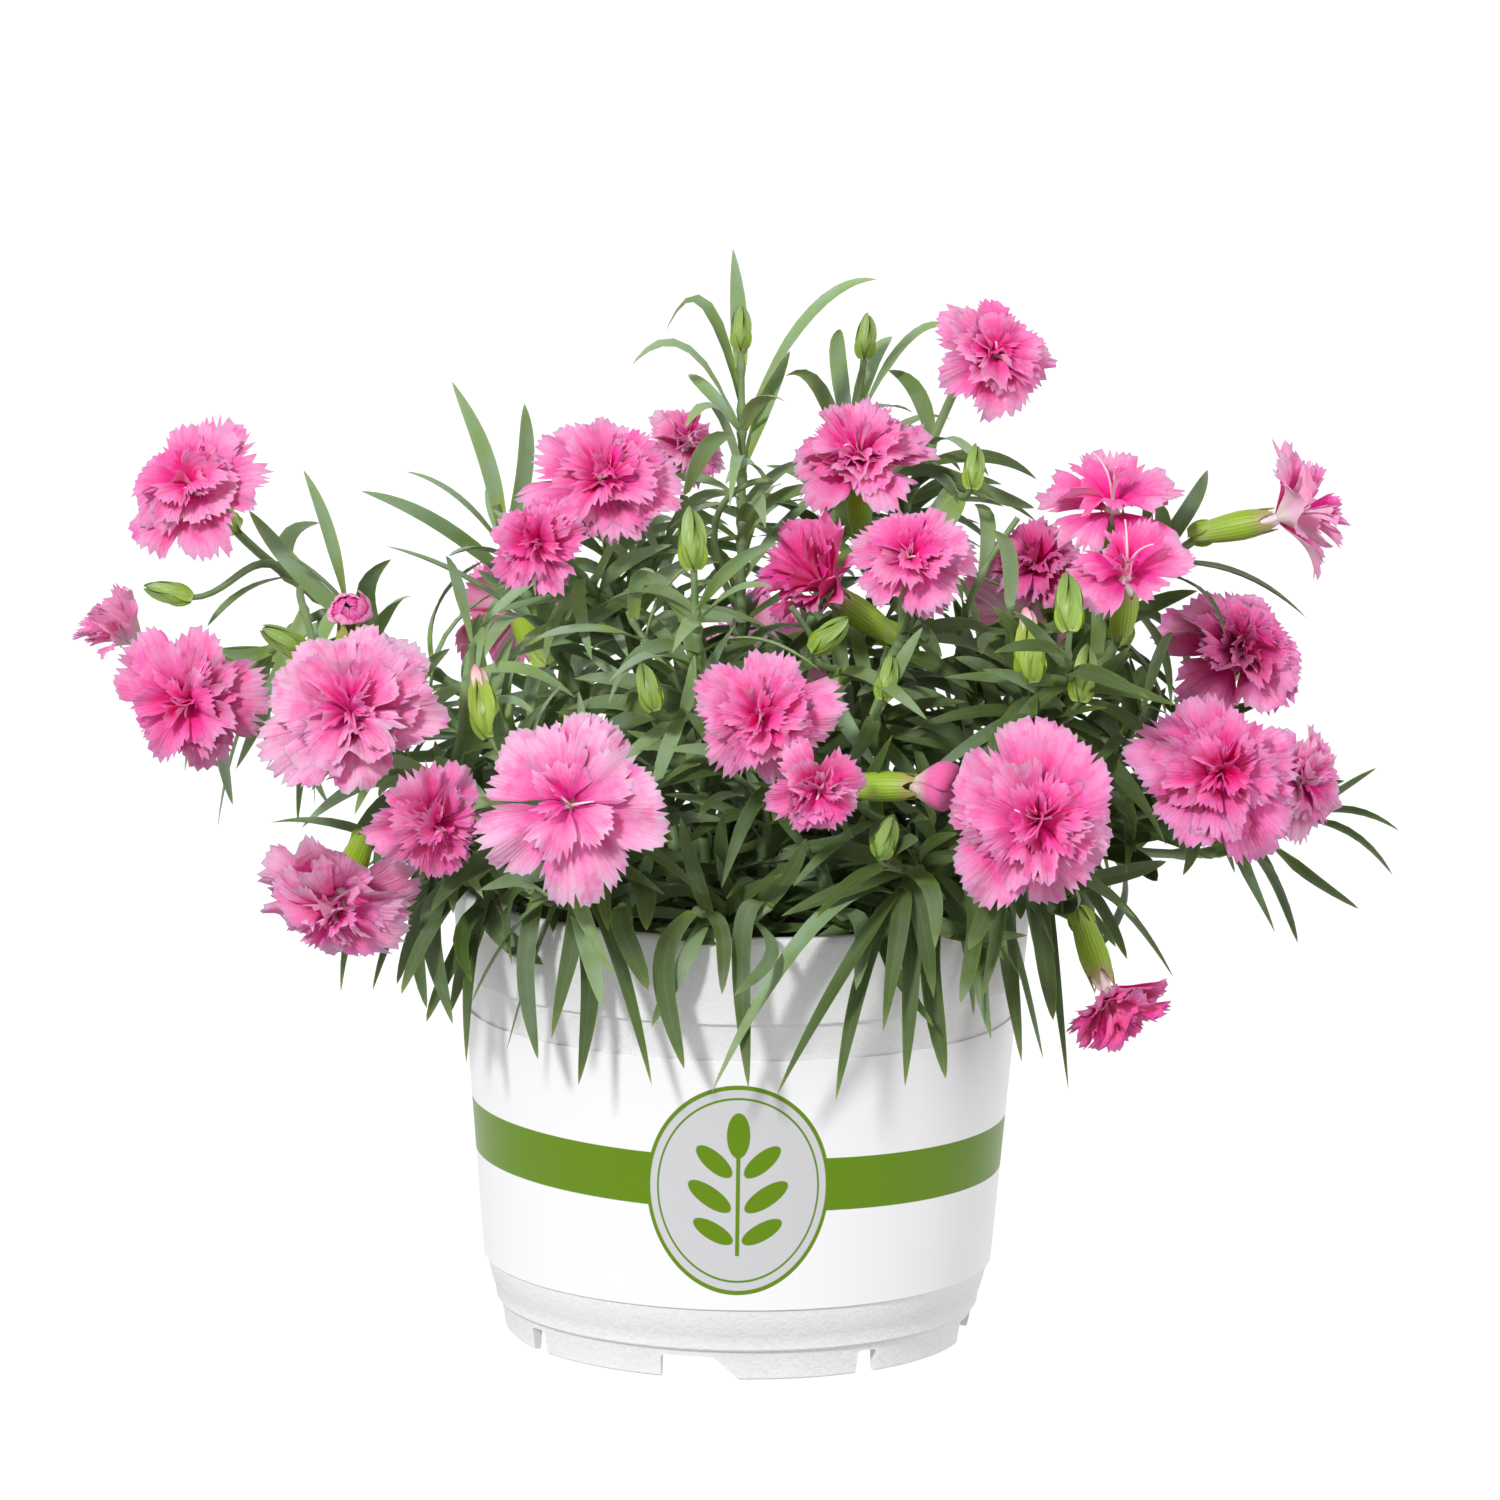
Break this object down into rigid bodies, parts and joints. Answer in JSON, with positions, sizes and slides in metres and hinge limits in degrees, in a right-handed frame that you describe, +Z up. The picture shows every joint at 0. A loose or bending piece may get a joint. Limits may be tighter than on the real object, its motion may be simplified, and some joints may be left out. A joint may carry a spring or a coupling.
{
  "type": "potted dianthus plant",
  "caption": "Bushy flowering dianthus in a round nursery pot: forked leafy stems with toothed pink double blooms and green buds over a tapered white pot with a smooth label band.",
  "frame": {"origin": "on the pot's axis, in the plane of the foot ring that the pot stands on", "axes": "+Z up along the pot's axis, +X along the plant's widest spread, -Y the side that shows the badge"},
  "size_m": [0.2934, 0.2021, 0.245],
  "materials": {
    "pot_plastic": "fine-grained",
    "label_film": "satin print",
    "soil": "crumbly peat",
    "foliage": "waxy blue-green",
    "petals_pale": "velvety",
    "petals_deep": "velvety"
  },
  "bodies": {
    "root": {"bloom_back_far_left": "petals_pale", "bloom_back_left": "petals_pale", "bloom_back_middle": "petals_pale", "bloom_back_right": "petals_pale", "bloom_ball_bud": "petals_deep", "bloom_centre_behind": "petals_deep", "bloom_centre_left": "petals_pale", "bloom_centre_right": "petals_pale", "bloom_centre_side": "petals_deep", "bloom_centre_small": "petals_deep", "bloom_far_right_front": "petals_pale", "bloom_far_right_high": "petals_pale", "bloom_far_right_low": "petals_pale", "bloom_front_centre": "petals_pale", "bloom_front_left": "petals_pale", "bloom_front_lower": "petals_deep", "bloom_front_right": "petals_pale", "bloom_half_open": "petals_deep", "bloom_left_ball": "petals_deep", "bloom_left_edge": "petals_deep", "bloom_left_hanging": "petals_pale", "bloom_left_high": "petals_pale", "bloom_left_low": "petals_pale", "bloom_left_pale": "petals_pale", "bloom_right_behind": "petals_deep", "bloom_right_flat": "petals_pale", "bloom_right_hanging": "petals_deep", "bloom_right_side": "petals_deep", "bloom_right_upper": "petals_pale", "bloom_top_middle": "petals_pale", "bloom_top_right": "petals_pale", "label_sleeve": "label_film", "pot": "pot_plastic", "soil": "soil", "stem_back_left": "foliage", "stem_back_middle": "foliage", "stem_back_right": "foliage", "stem_bud_stalk": "foliage", "stem_centre": "foliage", "stem_centre_left": "foliage", "stem_far_right": "foliage", "stem_far_right_top": "foliage", "stem_front_centre": "foliage", "stem_front_left": "foliage", "stem_front_right": "foliage", "stem_left_front": "foliage", "stem_left_low": "foliage", "stem_left_spray": "foliage", "stem_right_front": "foliage", "stem_right_hanging": "foliage", "stem_right_middle": "foliage", "stem_right_top": "foliage", "stem_shoot_back": "foliage", "stem_shoot_back_right": "foliage", "stem_shoot_far_left": "foliage", "stem_shoot_left": "foliage", "stem_shoot_right": "foliage", "stem_shoot_top": "foliage", "stem_shoot_top_right": "foliage"}
  },
  "joints": []
}
